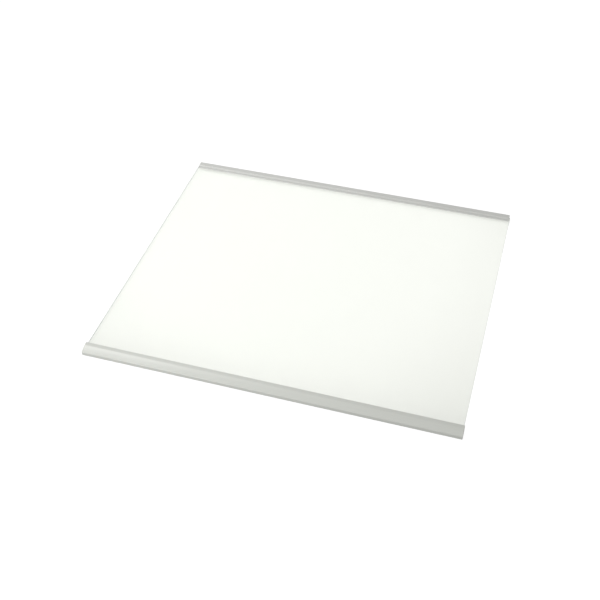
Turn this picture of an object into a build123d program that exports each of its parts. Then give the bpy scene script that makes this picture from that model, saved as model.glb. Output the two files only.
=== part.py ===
from build123d import *
import os

# A refrigerator shelf: a toughened glass plate with an extruded plastic trim pushed on its front edge and
# another on its rear edge. Sizes are in millimetres. +X runs across the shelf, -Y is its front, +Z is up,
# and the origin is the middle of the footprint, on the plane that both trims rest on.

# Glass plate, with rounded corners and seamed edges
glass_width = 475.0
glass_depth = 402.0
glass_thickness = 4.0
glass_corner_radius = 3.0
glass_arris = 0.5

# Slot that takes the glass, alike in both trims: the glass lies on the lower lip, and beads under the
# upper lip press on it
lower_lip = 2.3
slot_play = 0.2
slot_end_clearance = 0.4
mouth_lead_in = 0.4
bead_radius = 0.6
bead_setback = 1.6
bead_pitch = 2.4
bead_count = 2
bead_clearance = 0.05

# Saw-cut ends of the trims, with their outer edges broken
trim_end_break = 0.3

# Front trim, extruded with a hollow nose and a web behind it that stops the glass
front_grip = 6.5
front_nose = 8.6
front_upper_lip = 2.7
front_top_flat = 5.4
front_face_height = 5.7
front_slope_bulge = 0.3
front_wall = 1.8
front_base_radius = 1.2
front_nose_radius = 1.2
front_crease_radius = 2.0
front_lip_radius = 1.0
front_web = 1.5
front_chamber_radius = 0.5
front_end_overhang = 0.8

# Rear trim, extruded with a low ridge along its back and a short lower lip, and cut a little shorter
# than the glass
rear_grip = 10.2
rear_lower_grip = 4.0
rear_wall = 1.8
rear_upper_lip = 0.9
rear_ridge_height = 2.4
rear_ridge_width = 7.0
rear_ridge_run = 1.6
rear_ridge_radius = 0.8
rear_base_radius = 1.0
rear_lip_radius = 0.5
rear_end_inset = 1.2

# Stations along the depth, from the front face to the back
overall_depth = front_nose + glass_depth + slot_end_clearance + rear_wall
nose_front = -overall_depth / 2
glass_front = nose_front + front_nose
front_lip_end = glass_front + front_grip
glass_rear = glass_front + glass_depth
rear_lip_end = glass_rear - rear_grip
rear_lower_end = glass_rear - rear_lower_grip
trim_back = overall_depth / 2

# Levels, from the plane that the trims rest on
glass_middle = lower_lip + glass_thickness / 2
slot_top = lower_lip + glass_thickness + slot_play
front_top = slot_top + front_upper_lip
rear_lip_top = slot_top + rear_upper_lip
rear_ridge_top = slot_top + rear_ridge_height

# Lengths across the shelf
front_length = glass_width + 2 * front_end_overhang
rear_length = glass_width - 2 * rear_end_inset


def round_corners(section, corners):
    """Rounds the corners of a section that are given as (y, z, radius)."""
    for y, z, radius in corners:
        corner = section.vertices().sort_by_distance((y, z, 0))[0]
        section = fillet(corner, radius)
    return section


def across_shelf(section, length):
    """A section in (y, z) drawn out to a length that is centred across the shelf."""
    return extrude(Plane.YZ * section, amount=length / 2, both=True)


def slot_section(upper_end, lower_end, bottom, inward):
    """Slot for an edge of the glass: a lead-in on its lower lip, and grip beads left on its ceiling."""
    throat = lower_end + inward * mouth_lead_in
    slot = make_face(
        Polyline(
            (upper_end, lower_lip),
            (bottom, lower_lip),
            (bottom, slot_top),
            (upper_end, slot_top),
            close=True,
        )
    )
    slot += make_face(
        Polyline(
            (lower_end, lower_lip),
            (throat, lower_lip),
            (lower_end, lower_lip - mouth_lead_in),
            close=True,
        )
    )
    bead_height = slot_play - bead_clearance
    bead_level = slot_top - bead_height + bead_radius
    for number in range(bead_count):
        bead_place = upper_end + inward * (bead_setback + number * bead_pitch)
        slot -= Pos(bead_place, bead_level) * Circle(bead_radius)
    return slot


def front_outline():
    """Outside of the front trim: flat lip, gently curved slope and upright front face."""
    crease = (front_lip_end - front_top_flat, front_top)
    nose = (nose_front, front_face_height)
    flats = Polyline(crease, (front_lip_end, front_top), (front_lip_end, 0), (nose_front, 0), nose)
    slope = SagittaArc(nose, crease, front_slope_bulge)
    return round_corners(
        make_face([flats, slope]),
        [
            (front_lip_end, 0, front_lip_radius),
            (nose_front, 0, front_base_radius),
            (*nose, front_nose_radius),
            (*crease, front_crease_radius),
            (front_lip_end, front_top, front_lip_radius),
        ],
    )


def nose_chamber(outline):
    """Hollow of the nose, one wall inside the outline and in front of the web that stops the glass."""
    chamber_end = glass_front - slot_end_clearance - front_web
    reach = Pos(nose_front, 0) * Rectangle(
        chamber_end - nose_front, front_top, align=(Align.MIN, Align.MIN)
    )
    chamber = offset(outline, amount=-front_wall) & reach
    return fillet(chamber.vertices(), front_chamber_radius)


def cut_trim(outline, hollow, length):
    """A trim of a length: the outline drawn out with its end edges broken, less its hollow."""
    bar = across_shelf(outline, length)
    ends = bar.faces().sort_by(Axis.X)
    bar = chamfer(ends[0].edges() + ends[-1].edges(), trim_end_break)
    return bar - across_shelf(hollow, length)


def make_front_trim():
    """Front trim: a slot for the glass, and a hollow nose in front of it."""
    outline = front_outline()
    slot = slot_section(front_lip_end, front_lip_end, glass_front - slot_end_clearance, -1)
    return cut_trim(outline, slot + nose_chamber(outline), front_length)


def make_rear_trim():
    """Rear trim: a channel raised to a ridge at the back, with its lower lip shorter than its upper one."""
    corners = [
        (rear_lower_end, 0, rear_lip_radius),
        (trim_back, 0, rear_base_radius),
        (trim_back, rear_ridge_top, rear_ridge_radius),
        (trim_back - rear_ridge_width, rear_ridge_top, rear_ridge_radius),
        (trim_back - rear_ridge_width - rear_ridge_run, rear_lip_top, rear_ridge_radius),
        (rear_lip_end, rear_lip_top, rear_lip_radius),
    ]
    mouth = [(rear_lip_end, glass_middle), (rear_lower_end, glass_middle)]
    edge = Polyline([(y, z) for y, z, _ in corners] + mouth, close=True)
    outline = round_corners(make_face(edge), corners)
    slot = slot_section(rear_lip_end, rear_lower_end, glass_rear + slot_end_clearance, 1)
    return cut_trim(outline, slot, rear_length)


def make_glass_plate():
    """Glass plate lying on the lower lips, with an arris along the edges of both faces."""
    plate = extrude(RectangleRounded(glass_width, glass_depth, glass_corner_radius), glass_thickness)
    rims = plate.faces().sort_by(Axis.Z)[0].edges() + plate.faces().sort_by(Axis.Z)[-1].edges()
    plate = chamfer(rims, glass_arris)
    return Pos(0, (glass_front + glass_rear) / 2, lower_lip) * plate


nodes = {
    "glass_plate": make_glass_plate(),
    "front_trim": make_front_trim(),
    "rear_trim": make_rear_trim(),
}

os.makedirs("parts", exist_ok=True)
for name, node in nodes.items():
    export_step(node, f"parts/{name}.step")
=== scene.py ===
import math

import bmesh
import bpy
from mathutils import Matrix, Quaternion, Vector


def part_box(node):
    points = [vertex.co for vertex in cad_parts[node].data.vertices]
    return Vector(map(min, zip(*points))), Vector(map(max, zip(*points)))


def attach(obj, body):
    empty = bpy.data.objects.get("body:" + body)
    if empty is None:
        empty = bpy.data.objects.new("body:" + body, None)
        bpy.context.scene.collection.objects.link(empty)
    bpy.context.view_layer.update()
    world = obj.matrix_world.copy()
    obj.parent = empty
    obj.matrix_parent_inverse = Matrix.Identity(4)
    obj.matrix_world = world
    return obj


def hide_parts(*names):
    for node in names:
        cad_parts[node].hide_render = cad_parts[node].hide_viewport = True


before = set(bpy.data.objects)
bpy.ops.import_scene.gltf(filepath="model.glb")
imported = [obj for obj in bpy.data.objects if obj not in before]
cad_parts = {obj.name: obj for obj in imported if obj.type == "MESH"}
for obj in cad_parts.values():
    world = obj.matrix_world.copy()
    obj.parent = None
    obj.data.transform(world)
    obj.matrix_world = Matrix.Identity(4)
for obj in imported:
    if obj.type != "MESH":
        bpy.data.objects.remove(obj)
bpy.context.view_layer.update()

# Glass plate
# A sheet of clear toughened float glass with polished faces. Its rim is ground with a fine stone, its
# corners are rounded, and its edges are seamed on a smoothing belt. It lies on the lower lips of the
# two trims.
glass_corner_radius = 0.003
glass_corner_segments = 12
glass_arris = 0.0005
smooth_turn = math.radians(30.0)

# The finish of a face goes by how level it lies, which is the upright share of its normal
level_above = 0.9
upright_below = 0.1
polished, ground, seamed = range(3)

glass_index = 1.52
glass_green = (0.5, 0.78, 0.55, 1.0)
glass_green_density = 1.0
noise_middle = (0.3, 0.7)

face_tint = (0.985, 1.0, 0.95, 1.0)
face_shadow_tint = (0.955, 0.955, 0.95, 1.0)
ripple_scale = 1.3
ripple_wander = 0.8
ripple_wander_scale = 4.0
ripple_height = 0.00004
film_scale = 9.0
film_detail = 3.0
film_patches = (0.5, 0.8)
film_roughness = (0.0, 0.03)

ground_tint = (0.97, 0.99, 0.97, 1.0)
ground_shadow_tint = (0.92, 0.94, 0.92, 1.0)
grit_scale = 3200.0
grit_detail = 3.0
grit_height = 0.00001
rim_clearness = 0.1
rim_roughness = (0.3, 0.45)
seam_clearness = 0.8
seam_roughness = (0.05, 0.12)


def new_material(name):
    """A node material, with its tree, its output node and its Principled shader."""
    material = bpy.data.materials.new(name)
    material.use_nodes = True
    tree = material.node_tree
    return material, tree, tree.nodes["Material Output"], tree.nodes["Principled BSDF"]


def add_node(tree, kind, **settings):
    """A node of a tree, with its settings given by name."""
    node = tree.nodes.new(kind)
    for setting, value in settings.items():
        setattr(node, setting, value)
    return node


def add_noise(tree, place, scale, detail):
    """The values of a noise in space, at a scale and with some finer detail."""
    noise = add_node(tree, "ShaderNodeTexNoise")
    noise.inputs["Scale"].default_value = scale
    noise.inputs["Detail"].default_value = detail
    tree.links.new(place, noise.inputs["Vector"])
    return noise.outputs["Fac"]


def spread(tree, values, taken, given, **settings):
    """Values between two limits, spread over another range and held at its ends."""
    ramp = add_node(tree, "ShaderNodeMapRange", **settings)
    ramp.inputs["From Min"].default_value = taken[0]
    ramp.inputs["From Max"].default_value = taken[1]
    ramp.inputs["To Min"].default_value = given[0]
    ramp.inputs["To Max"].default_value = given[1]
    tree.links.new(values, ramp.inputs["Value"])
    return ramp.outputs["Result"]


def add_relief(tree, values, height, shader):
    """Bumps of a height on a shader's surface, where the values rise."""
    relief = add_node(tree, "ShaderNodeBump")
    relief.inputs["Distance"].default_value = height
    tree.links.new(values, relief.inputs["Height"])
    tree.links.new(relief.outputs["Normal"], shader.inputs["Normal"])


def let_lamps_through(tree, surface, output, tint):
    """Glass that shadow rays pass through with a tint, so that it casts only a faint shadow."""
    path = add_node(tree, "ShaderNodeLightPath")
    clear = add_node(tree, "ShaderNodeBsdfTransparent")
    clear.inputs["Color"].default_value = tint
    choice = add_node(tree, "ShaderNodeMixShader")
    tree.links.new(path.outputs["Is Shadow Ray"], choice.inputs[0])
    tree.links.new(surface.outputs["BSDF"], choice.inputs[1])
    tree.links.new(clear.outputs["BSDF"], choice.inputs[2])
    tree.links.new(choice.outputs["Shader"], output.inputs["Surface"])


def absorb_inside(tree, output):
    """The faint green of float glass, which deepens with the length of glass that is looked through."""
    inside = add_node(tree, "ShaderNodeVolumeAbsorption")
    inside.inputs["Color"].default_value = glass_green
    inside.inputs["Density"].default_value = glass_green_density
    tree.links.new(inside.outputs["Volume"], output.inputs["Volume"])


def polished_glass():
    """The faces: clear and smooth, with the slow ripple that toughening leaves and a film from wiping."""
    material, tree, output, glass = new_material("polished_glass")
    glass.inputs["Base Color"].default_value = face_tint
    glass.inputs["IOR"].default_value = glass_index
    glass.inputs["Transmission Weight"].default_value = 1.0
    place = add_node(tree, "ShaderNodeTexCoord").outputs["Object"]
    rollers = add_node(tree, "ShaderNodeTexWave", bands_direction="Y")
    rollers.inputs["Scale"].default_value = ripple_scale
    rollers.inputs["Distortion"].default_value = ripple_wander
    rollers.inputs["Detail Scale"].default_value = ripple_wander_scale
    tree.links.new(place, rollers.inputs["Vector"])
    add_relief(tree, rollers.outputs["Fac"], ripple_height, glass)
    wiped = add_noise(tree, place, film_scale, film_detail)
    film = spread(tree, wiped, film_patches, film_roughness)
    tree.links.new(film, glass.inputs["Roughness"])
    let_lamps_through(tree, glass, output, face_shadow_tint)
    absorb_inside(tree, output)
    return material


def ground_surface():
    """Surface that grit leaves: a roughness between two that are given, and the height of its grain."""
    group = bpy.data.node_groups.new("ground_surface", "ShaderNodeTree")
    group.interface.new_socket("Smoothest", in_out="INPUT", socket_type="NodeSocketFloat")
    group.interface.new_socket("Roughest", in_out="INPUT", socket_type="NodeSocketFloat")
    group.interface.new_socket("Roughness", in_out="OUTPUT", socket_type="NodeSocketFloat")
    group.interface.new_socket("Height", in_out="OUTPUT", socket_type="NodeSocketFloat")
    given = add_node(group, "NodeGroupInput")
    result = add_node(group, "NodeGroupOutput")
    place = add_node(group, "ShaderNodeTexCoord").outputs["Object"]
    grit = add_noise(group, place, grit_scale, grit_detail)
    frost = add_node(group, "ShaderNodeMapRange")
    frost.inputs["From Min"].default_value = noise_middle[0]
    frost.inputs["From Max"].default_value = noise_middle[1]
    group.links.new(grit, frost.inputs["Value"])
    group.links.new(given.outputs["Smoothest"], frost.inputs["To Min"])
    group.links.new(given.outputs["Roughest"], frost.inputs["To Max"])
    group.links.new(frost.outputs["Result"], result.inputs["Roughness"])
    group.links.new(grit, result.inputs["Height"])
    return group


frosted = ground_surface()


def ground_glass(name, clearness, roughness):
    """Glass that grinding has frosted, within a range of roughness: the less clear, the whiter it looks."""
    material, tree, output, glass = new_material(name)
    glass.inputs["Base Color"].default_value = ground_tint
    glass.inputs["IOR"].default_value = glass_index
    glass.inputs["Transmission Weight"].default_value = clearness
    surface = add_node(tree, "ShaderNodeGroup", node_tree=frosted)
    surface.inputs["Smoothest"].default_value = roughness[0]
    surface.inputs["Roughest"].default_value = roughness[1]
    tree.links.new(surface.outputs["Roughness"], glass.inputs["Roughness"])
    add_relief(tree, surface.outputs["Height"], grit_height, glass)
    let_lamps_through(tree, glass, output, ground_shadow_tint)
    absorb_inside(tree, output)
    return material


def make_glass():
    """The plate, shaped from a block by rounding its corners and then seaming its edges."""
    low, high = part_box("glass_plate")
    plate = bmesh.new()
    bmesh.ops.create_cube(plate, size=1.0)
    bmesh.ops.scale(plate, vec=high - low, verts=plate.verts)
    bmesh.ops.translate(plate, vec=(low + high) / 2, verts=plate.verts)
    corners = [edge for edge in plate.edges if edge.verts[0].co.xy == edge.verts[1].co.xy]
    bmesh.ops.bevel(plate, geom=corners, offset=glass_corner_radius, affect="EDGES",
                    segments=glass_corner_segments, profile=0.5, material=-1)
    faces = [face for face in plate.faces if abs(face.normal.z) > level_above]
    rims = [edge for face in faces for edge in face.edges]
    bmesh.ops.bevel(plate, geom=rims, offset=glass_arris, affect="EDGES",
                    segments=1, profile=0.5, material=-1)
    for edge in plate.edges:
        edge.smooth = edge.calc_face_angle() < smooth_turn
    for face in plate.faces:
        face.smooth = True
        tilt = abs(face.normal.z)
        if tilt > level_above:
            face.material_index = polished
        elif tilt < upright_below:
            face.material_index = ground
        else:
            face.material_index = seamed
    mesh = bpy.data.meshes.new("glass")
    plate.to_mesh(mesh)
    plate.free()
    mesh.materials.append(polished_glass())
    mesh.materials.append(ground_glass("ground_rim", rim_clearness, rim_roughness))
    mesh.materials.append(ground_glass("seamed_edge", seam_clearness, seam_roughness))
    return bpy.data.objects.new("glass", mesh)


glass = make_glass()
bpy.context.collection.objects.link(glass)
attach(glass, "root")
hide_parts("glass_plate")

# Front trim
# A nosing of light grey plastic with a hollow nose, drawn through a die that leaves it satin, with faint
# lines along its run. It is sawn to length and pushed on the front edge of the glass.
front_grey = (0.588, 0.6, 0.56, 1.0)
plastic_index = 1.49
satin_roughness = (0.27, 0.34)
sawn_dullness = 0.25
end_facing = 0.9

# Marks to the metre along X, Y and Z, on the run of a trim and on its sawn ends
die_lines = Vector((25.0, 2600.0, 2600.0))
saw_marks = Vector((25.0, 2600.0, 50.0))
mark_detail = 2.0
mark_shades = (0.98, 1.02)
mark_height = 0.00001
cloud_scale = 16.0
cloud_detail = 2.0
cloud_shades = (0.99, 1.01)


def drawn_plastic():
    """Surface of a drawn plastic section: its tint, its roughness and the height of its marks.

    Die lines run along X, over slow clouds in the colour. The ends, which face along X, show upright
    saw marks instead and are duller.
    """
    group = bpy.data.node_groups.new("drawn_plastic", "ShaderNodeTree")
    group.interface.new_socket("Color", in_out="INPUT", socket_type="NodeSocketColor")
    group.interface.new_socket("Color", in_out="OUTPUT", socket_type="NodeSocketColor")
    group.interface.new_socket("Roughness", in_out="OUTPUT", socket_type="NodeSocketFloat")
    group.interface.new_socket("Height", in_out="OUTPUT", socket_type="NodeSocketFloat")
    given = add_node(group, "NodeGroupInput")
    result = add_node(group, "NodeGroupOutput")
    place = add_node(group, "ShaderNodeTexCoord")

    facing = add_node(group, "ShaderNodeSeparateXYZ")
    group.links.new(place.outputs["Normal"], facing.inputs[0])
    along = add_node(group, "ShaderNodeMath", operation="ABSOLUTE")
    group.links.new(facing.outputs["X"], along.inputs[0])
    sawn = add_node(group, "ShaderNodeMath", operation="GREATER_THAN")
    sawn.inputs[1].default_value = end_facing
    group.links.new(along.outputs[0], sawn.inputs[0])

    spacing = add_node(group, "ShaderNodeVectorMath", operation="MULTIPLY_ADD")
    spacing.inputs[1].default_value = saw_marks - die_lines
    spacing.inputs[2].default_value = die_lines
    group.links.new(sawn.outputs[0], spacing.inputs[0])
    stretched = add_node(group, "ShaderNodeVectorMath", operation="MULTIPLY")
    group.links.new(place.outputs["Object"], stretched.inputs[0])
    group.links.new(spacing.outputs[0], stretched.inputs[1])
    marks = add_noise(group, stretched.outputs[0], 1.0, mark_detail)
    clouds = add_noise(group, place.outputs["Object"], cloud_scale, cloud_detail)

    tone = add_node(group, "ShaderNodeMath", operation="MULTIPLY")
    group.links.new(spread(group, marks, noise_middle, mark_shades), tone.inputs[0])
    group.links.new(spread(group, clouds, noise_middle, cloud_shades), tone.inputs[1])
    tinted = add_node(group, "ShaderNodeVectorMath", operation="SCALE")
    group.links.new(given.outputs["Color"], tinted.inputs[0])
    group.links.new(tone.outputs[0], tinted.inputs["Scale"])
    group.links.new(tinted.outputs[0], result.inputs["Color"])

    dulled = add_node(group, "ShaderNodeMath", operation="MULTIPLY_ADD")
    dulled.inputs[1].default_value = sawn_dullness
    group.links.new(sawn.outputs[0], dulled.inputs[0])
    group.links.new(spread(group, marks, noise_middle, satin_roughness), dulled.inputs[2])
    group.links.new(dulled.outputs[0], result.inputs["Roughness"])
    group.links.new(marks, result.inputs["Height"])
    return group


drawn = drawn_plastic()


def trim_plastic(name, grey):
    """Satin plastic in a grey, with the marks of its die and of the saw."""
    material, tree, _, plastic = new_material(name)
    surface = add_node(tree, "ShaderNodeGroup", node_tree=drawn)
    surface.inputs["Color"].default_value = grey
    tree.links.new(surface.outputs["Color"], plastic.inputs["Base Color"])
    tree.links.new(surface.outputs["Roughness"], plastic.inputs["Roughness"])
    add_relief(tree, surface.outputs["Height"], mark_height, plastic)
    plastic.inputs["IOR"].default_value = plastic_index
    return material


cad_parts["front_trim"].material_slots[0].material = trim_plastic("front_satin_grey", front_grey)

# Rear trim
# A slim channel of the same drawn plastic, with a low ridge along its back. It is sawn a little shorter
# than the glass and pushed on its rear edge.
rear_grey = (0.58, 0.585, 0.56, 1.0)

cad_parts["rear_trim"].material_slots[0].material = trim_plastic("rear_satin_grey", rear_grey)

# Floor and light
# A plain floor that looks white and still takes shadows, with white all round it. Three soft boxes stand
# on the left: a key past the end of the shelf, one higher up and further back, and a fill low in front.
floor_side = 8.0
floor_grey = (0.15, 0.15, 0.15, 1.0)
white_seen = 0.94
# A painted pool of light on the floor, seen only through the glass: full in its middle, fading to painted
# shade at its reach
painted_pool_centre = (-0.045, 0.08, 0.0)
painted_pool_radius = 0.19
painted_pool_reach = 0.6
painted_pool_white = 0.79
painted_pool_rim_white = 0.45


def floor_material():
    """Matt grey, raised to white for rays from the camera or a mirror.

    Seen through the glass, the white is a painted pool of light that fades to painted shade around the
    shelf.
    Rays through glass also count as mirrored ones, so the level of the painted pool is set as a difference.
    """
    material, tree, output, principled = new_material("floor_white")
    tree.nodes.remove(principled)
    matt = add_node(tree, "ShaderNodeBsdfDiffuse")
    matt.inputs["Color"].default_value = floor_grey
    path = add_node(tree, "ShaderNodeLightPath")
    mirrored = add_node(tree, "ShaderNodeMath", operation="MAXIMUM")
    tree.links.new(path.outputs["Is Camera Ray"], mirrored.inputs[0])
    tree.links.new(path.outputs["Is Glossy Ray"], mirrored.inputs[1])
    seen = add_node(tree, "ShaderNodeMath", operation="MULTIPLY")
    seen.inputs[1].default_value = white_seen
    tree.links.new(mirrored.outputs[0], seen.inputs[0])
    place = add_node(tree, "ShaderNodeTexCoord")
    distance = add_node(tree, "ShaderNodeVectorMath", operation="DISTANCE")
    distance.inputs[1].default_value = painted_pool_centre
    tree.links.new(place.outputs["Object"], distance.inputs[0])
    # The painted pool of light for rays through the glass, with painted shade towards its rim
    pool = spread(tree, distance.outputs["Value"], (painted_pool_radius, painted_pool_reach),
                  (painted_pool_white - white_seen, painted_pool_rim_white - white_seen), interpolation_type="SMOOTHSTEP")
    level = add_node(tree, "ShaderNodeMath", operation="MULTIPLY_ADD")
    tree.links.new(path.outputs["Is Transmission Ray"], level.inputs[0])
    tree.links.new(pool, level.inputs[1])
    tree.links.new(seen.outputs[0], level.inputs[2])
    glow = add_node(tree, "ShaderNodeEmission")
    tree.links.new(level.outputs[0], glow.inputs["Strength"])
    both = add_node(tree, "ShaderNodeAddShader")
    tree.links.new(matt.outputs["BSDF"], both.inputs[0])
    tree.links.new(glow.outputs["Emission"], both.inputs[1])
    tree.links.new(both.outputs["Shader"], output.inputs["Surface"])
    return material


floor_form = bmesh.new()
bmesh.ops.create_grid(floor_form, x_segments=1, y_segments=1, size=floor_side / 2)
floor_mesh = bpy.data.meshes.new("floor")
floor_form.to_mesh(floor_mesh)
floor_form.free()
floor_mesh.materials.append(floor_material())
floor = bpy.data.objects.new("floor", floor_mesh)
bpy.context.collection.objects.link(floor)

ambient_level = 0.51
dimming_heights = (0.64, 0.82)
dimming_levels = (1.0, 0.4)


def studio_world():
    """White for rays from the camera, a mirror or the glass, and an even, lower light for all others.

    In a mirror, such as the top of the glass, the white dims overhead.
    """
    world = bpy.data.worlds.new("studio")
    world.use_nodes = True
    sky = world.node_tree
    ambient = sky.nodes["Background"]
    ambient.inputs["Color"].default_value = (1.0, 1.0, 1.0, 1.0)
    ambient.inputs["Strength"].default_value = ambient_level
    direction = add_node(sky, "ShaderNodeTexCoord")
    height = add_node(sky, "ShaderNodeSeparateXYZ")
    sky.links.new(direction.outputs["Generated"], height.inputs[0])
    dimmed = spread(sky, height.outputs["Z"], dimming_heights, dimming_levels,
                    interpolation_type="SMOOTHSTEP")
    rays = add_node(sky, "ShaderNodeLightPath")
    level = add_node(sky, "ShaderNodeMath", operation="MAXIMUM")
    sky.links.new(dimmed, level.inputs[0])
    sky.links.new(rays.outputs["Is Transmission Ray"], level.inputs[1])
    white = add_node(sky, "ShaderNodeBackground")
    white.inputs["Strength"].default_value = 1.0
    sky.links.new(level.outputs[0], white.inputs["Color"])
    mirrored = add_node(sky, "ShaderNodeMath", operation="MAXIMUM")
    sky.links.new(rays.outputs["Is Camera Ray"], mirrored.inputs[0])
    sky.links.new(rays.outputs["Is Glossy Ray"], mirrored.inputs[1])
    seen = add_node(sky, "ShaderNodeMath", operation="MAXIMUM")
    sky.links.new(mirrored.outputs[0], seen.inputs[0])
    sky.links.new(rays.outputs["Is Transmission Ray"], seen.inputs[1])
    shown = add_node(sky, "ShaderNodeMixShader")
    sky.links.new(seen.outputs[0], shown.inputs[0])
    sky.links.new(ambient.outputs["Background"], shown.inputs[1])
    sky.links.new(white.outputs["Background"], shown.inputs[2])
    sky.links.new(shown.outputs["Shader"], sky.nodes["World Output"].inputs["Surface"])
    return world


bpy.context.scene.world = studio_world()


def soft_lamp(name, place, side, power):
    """A square soft box at a place, turned to the middle of the shelf's footprint."""
    light = bpy.data.lights.new(name, "AREA")
    light.shape = "SQUARE"
    light.size = side
    light.energy = power
    lamp = bpy.data.objects.new(name, light)
    lamp.location = place
    lamp.rotation_mode = "QUATERNION"
    lamp.rotation_quaternion = (-Vector(place)).to_track_quat("-Z", "Y")
    bpy.context.collection.objects.link(lamp)


soft_lamp("key_lamp", place=(-0.6, -0.06, 0.85), side=0.35, power=2.5)
soft_lamp("top_lamp", place=(-0.35, 0.2, 1.0), side=0.36, power=1.9)
soft_lamp("front_lamp", place=(-0.5, -1.2, 0.3), side=0.4, power=7.0)

# Camera
# It looks down on the shelf from the front, a little to the right, and leans by less than a degree. From
# its place, with its lens, the edges of the trims and of the glass lie about where the photograph has
# them.
view_azimuth = math.radians(17.07)
view_elevation = math.radians(43.915)
view_lean = math.radians(-0.724)
view_place = Vector((0.26037, -0.9023, 0.87216))
view_focal_length = 57.229
view_film_width = 36.0

back = Vector((
    math.sin(view_azimuth) * math.cos(view_elevation),
    -math.cos(view_azimuth) * math.cos(view_elevation),
    math.sin(view_elevation),
))
camera_data = bpy.data.cameras.new("camera")
camera_data.sensor_width = view_film_width
camera_data.lens = view_focal_length
camera = bpy.data.objects.new("camera", camera_data)
camera.location = view_place
camera.rotation_mode = "QUATERNION"
camera.rotation_quaternion = (-back).to_track_quat("-Z", "Y") @ Quaternion((0.0, 0.0, 1.0), view_lean)
bpy.context.collection.objects.link(camera)
bpy.context.scene.camera = camera
bpy.context.scene.view_settings.view_transform = "Standard"
